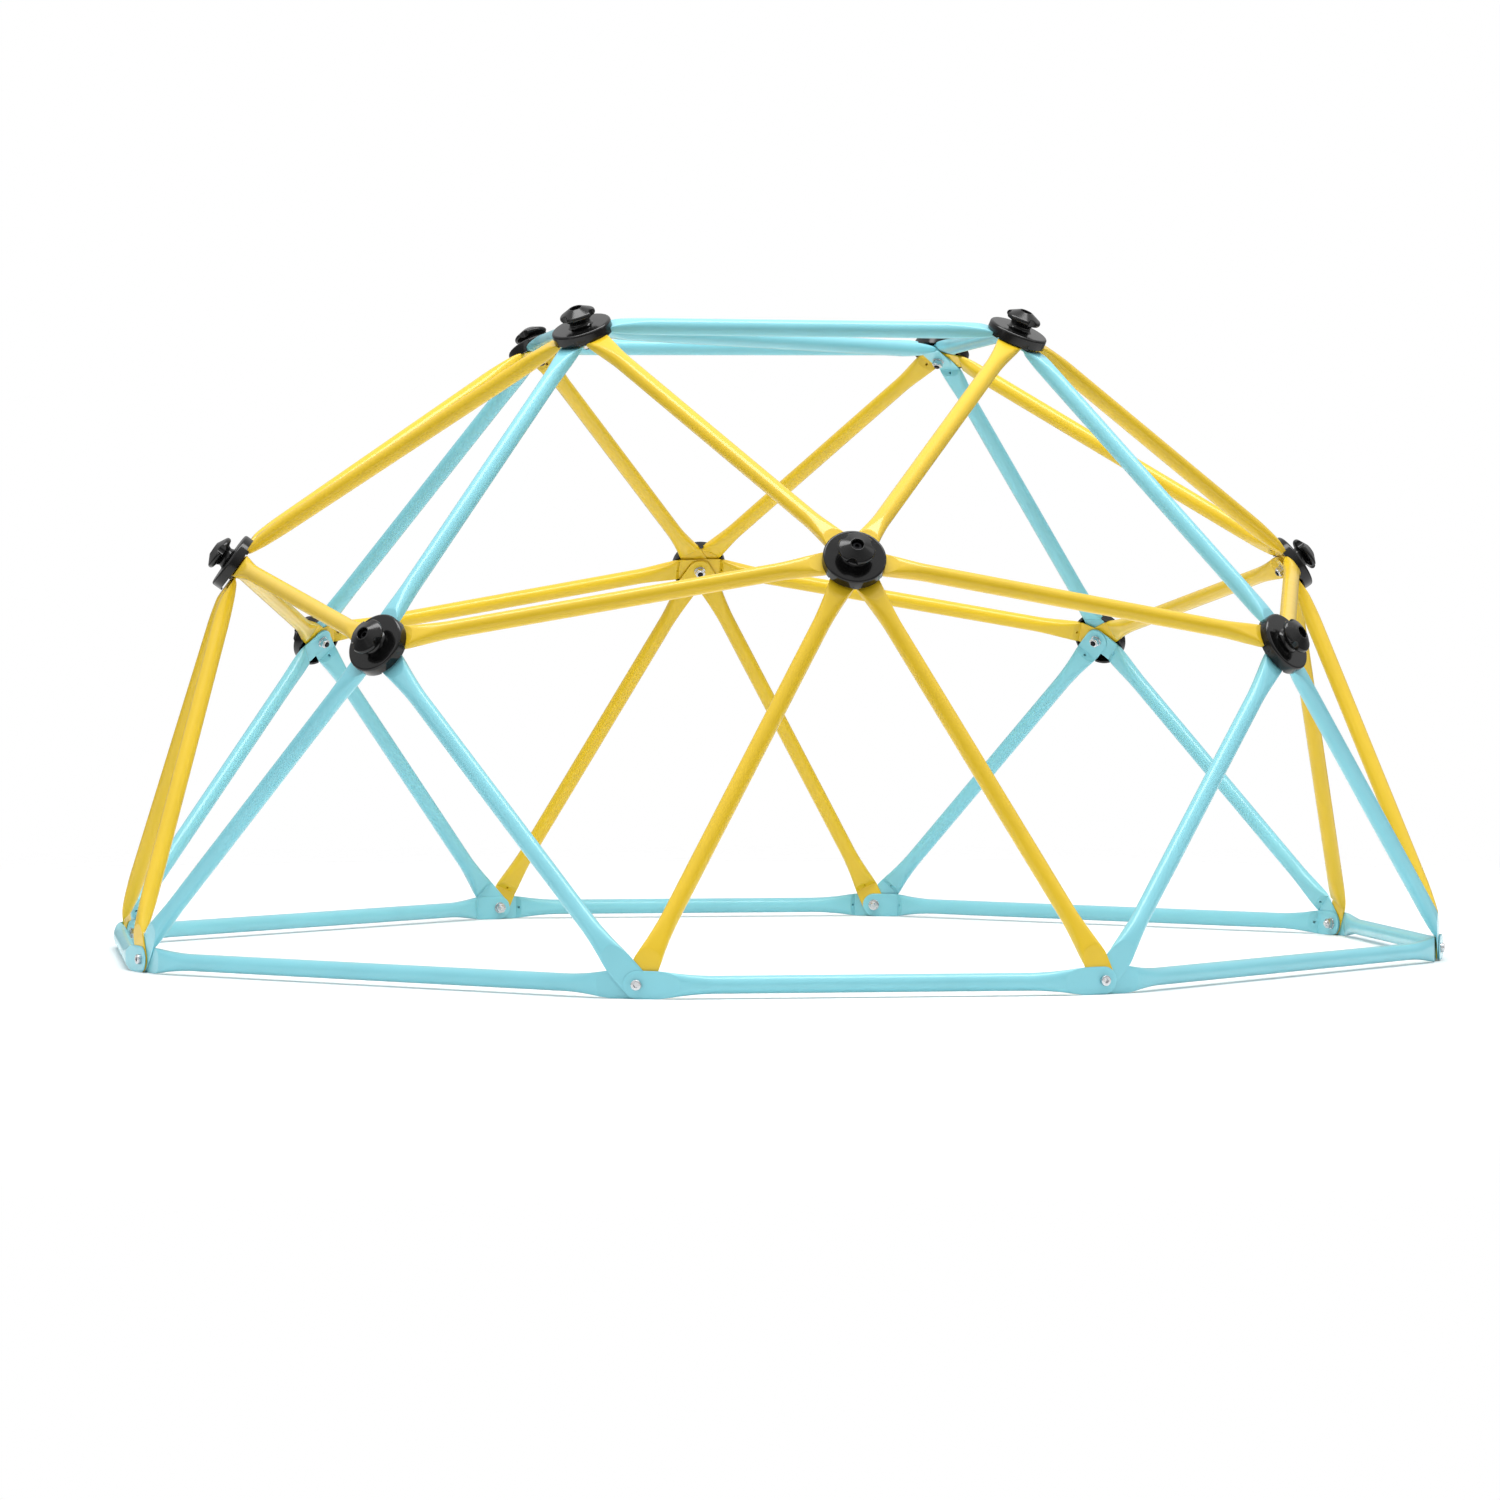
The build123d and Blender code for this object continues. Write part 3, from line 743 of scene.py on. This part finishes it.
def tinted(nodes, links, value, colour, other):
    """A colour that drifts between two by a noise value."""
    mix = nodes.new("ShaderNodeMix")
    mix.data_type = "RGBA"
    mix.inputs["A"].default_value = (*colour, 1)
    mix.inputs["B"].default_value = (*other, 1)
    links.new(ranged(nodes, links, value, 0, 1), mix.inputs["Factor"])
    return mix.outputs["Result"]


def powder_coat(name, colour):
    """Glossy powder coat: faint orange peel, and a slow drift in depth of colour."""
    material, nodes, links, shader = new_material(name)
    darker = [channel * 0.94 for channel in colour]
    drift = noise(nodes, links, 9, 3)
    links.new(tinted(nodes, links, drift, colour, darker), shader.inputs["Base Color"])
    links.new(ranged(nodes, links, noise(nodes, links, 60, 4), 0.34, 0.42), shader.inputs["Roughness"])
    shader.inputs["Specular IOR Level"].default_value = 0.3
    shader.inputs["Coat Weight"].default_value = 0.48
    shader.inputs["Coat Roughness"].default_value = 0.07
    add_bump(nodes, links, shader, noise(nodes, links, 260, 0), 0.000006)
    return material


def plastic(name, shade, low, high):
    """Black moulded plastic with a slightly uneven gloss."""
    material, nodes, links, shader = new_material(name)
    shader.inputs["Base Color"].default_value = (shade, shade, shade * 1.03, 1)
    shader.inputs["Specular IOR Level"].default_value = 0.38
    links.new(ranged(nodes, links, noise(nodes, links, 90, 4), low, high), shader.inputs["Roughness"])
    add_bump(nodes, links, shader, noise(nodes, links, 500, 1), 0.000004)
    return material


def metal(name, colour, low, high):
    """Plated or blackened steel with fine unevenness."""
    material, nodes, links, shader = new_material(name)
    shader.inputs["Base Color"].default_value = (*colour, 1)
    shader.inputs["Metallic"].default_value = 1
    links.new(ranged(nodes, links, noise(nodes, links, 220, 2), low, high), shader.inputs["Roughness"])
    add_bump(nodes, links, shader, noise(nodes, links, 900, 1), 0.000002)
    return material


def add_light(name, size, energy, place, target=(0, 0, 0.4)):
    """Rectangular area light that faces a target, in metres and watts."""
    data = bpy.data.lights.new(name, "AREA")
    data.shape = "RECTANGLE"
    data.size, data.size_y = size
    data.energy = energy
    light = bpy.data.objects.new(name, data)
    light.location = place
    light.rotation_euler = (Vector(place) - Vector(target)).to_track_quat("Z", "Y").to_euler()
    bpy.context.scene.collection.objects.link(light)


def studio_world():
    """White backdrop, with light on the dome that is bright overhead and dimmer from the side."""
    world = bpy.data.worlds.new("studio")
    bpy.context.scene.world = world
    world.use_nodes = True
    nodes, links = world.node_tree.nodes, world.node_tree.links
    surroundings, output = nodes["Background"], nodes["World Output"]
    surroundings.inputs["Color"].default_value = (1, 1, 1, 1)
    kinds = ("TexCoord", "SeparateXYZ", "MapRange")
    direction, split, ramp = (nodes.new(f"ShaderNode{kind}") for kind in kinds)
    links.new(direction.outputs["Generated"], split.inputs["Vector"])
    links.new(split.outputs["Z"], ramp.inputs["Value"])
    ramp.interpolation_type = "SMOOTHSTEP"
    ramp.inputs["From Min"].default_value = -0.1
    ramp.inputs["From Max"].default_value = 0.8
    ramp.inputs["To Min"].default_value = HORIZON_GLOW
    ramp.inputs["To Max"].default_value = OVERHEAD_GLOW
    links.new(ramp.outputs["Result"], surroundings.inputs["Strength"])
    backdrop = nodes.new("ShaderNodeBackground")
    backdrop.inputs["Color"].default_value = (1, 1, 1, 1)
    path, mix = nodes.new("ShaderNodeLightPath"), nodes.new("ShaderNodeMixShader")
    links.new(path.outputs["Is Camera Ray"], mix.inputs["Fac"])
    links.new(surroundings.outputs["Background"], mix.inputs[1])
    links.new(backdrop.outputs["Background"], mix.inputs[2])
    links.new(mix.outputs["Shader"], output.inputs["Surface"])


def add_floor():
    """A pale floor that fades into the backdrop away from the dome."""
    mesh = bpy.data.meshes.new("floor")
    reach = FLOOR_RADIUS
    corners = [(-reach, -reach, 0), (reach, -reach, 0), (reach, reach, 0), (-reach, reach, 0)]
    mesh.from_pydata(corners, [], [(0, 1, 2, 3)])
    floor = bpy.data.objects.new("floor", mesh)
    material, nodes, links, shader = new_material("floor")
    shader.inputs["Base Color"].default_value = (0.93, 0.93, 0.93, 1)
    shader.inputs["Roughness"].default_value = 0.8
    shader.inputs["Specular IOR Level"].default_value = 0.1
    kinds = ("TexCoord", "VectorMath", "MapRange")
    place, distance, fade = (nodes.new(f"ShaderNode{kind}") for kind in kinds)
    distance.operation = "LENGTH"
    links.new(place.outputs["Object"], distance.inputs[0])
    links.new(distance.outputs["Value"], fade.inputs["Value"])
    fade.interpolation_type = "SMOOTHSTEP"
    fade.inputs["From Min"].default_value = FLOOR_FADE
    fade.inputs["From Max"].default_value = reach
    clear, mix = nodes.new("ShaderNodeBsdfTransparent"), nodes.new("ShaderNodeMixShader")
    links.new(fade.outputs["Result"], mix.inputs["Fac"])
    links.new(shader.outputs["BSDF"], mix.inputs[1])
    links.new(clear.outputs["BSDF"], mix.inputs[2])
    links.new(mix.outputs["Shader"], nodes["Material Output"].inputs["Surface"])
    mesh.materials.append(material)
    bpy.context.scene.collection.objects.link(floor)


def add_studio():
    """Backdrop, lights and floor."""
    bpy.context.scene.view_settings.view_transform = "Standard"
    studio_world()
    add_light("overhead softbox", (4, 1.0), 98, (0, -0.6, 3.4))
    add_light("left panel", (1.2, 2.4), 8, (-3.4, -2.2, 2.0))
    add_light("right panel", (1.0, 2.4), 6, (3.6, -1.6, 2.2))
    add_floor()


def add_camera():
    """The camera, at the viewing angle of a catalogue picture taken from a little left of the front."""
    azimuth, elevation = radians(CAMERA_AZIMUTH), radians(CAMERA_ELEVATION)
    back = Vector((sin(azimuth) * cos(elevation), -cos(azimuth) * cos(elevation), sin(elevation)))
    right = Vector((cos(azimuth), sin(azimuth), 0))
    up = back.cross(right)
    data = bpy.data.cameras.new("camera")
    data.lens = LENS
    data.sensor_width = 36
    data.shift_x, data.shift_y = SHIFT
    data.clip_end = 100
    camera = bpy.data.objects.new("camera", data)
    camera.location = back * CAMERA_DISTANCE + right * CAMERA_ASIDE + up * CAMERA_RAISED
    camera.location.z += FOOT_HEIGHT
    camera.rotation_euler = (radians(90) - elevation, 0, azimuth)
    bpy.context.scene.collection.objects.link(camera)
    bpy.context.scene.camera = camera


SLOTS = {
    "cyan_powder_coat": powder_coat("cyan_powder_coat", (0.225, 0.60, 0.69)),
    "yellow_powder_coat": powder_coat("yellow_powder_coat", (0.76, 0.51, 0.014)),
    "cap_plastic": plastic("cap_plastic", 0.005, 0.12, 0.18),
    "grip_plastic": plastic("grip_plastic", 0.005, 0.14, 0.2),
    "zinc_plate": metal("zinc_plate", (0.62, 0.63, 0.65), 0.24, 0.29),
    "black_oxide": metal("black_oxide", (0.02, 0.02, 0.022), 0.3, 0.42),
}
slot_of = {part["node"]: part["material_slot"] for part in frame["record"]["subparts"]}

add_camera()
add_studio()
add_tubes()
add_caps_and_grips()
add_hardware()
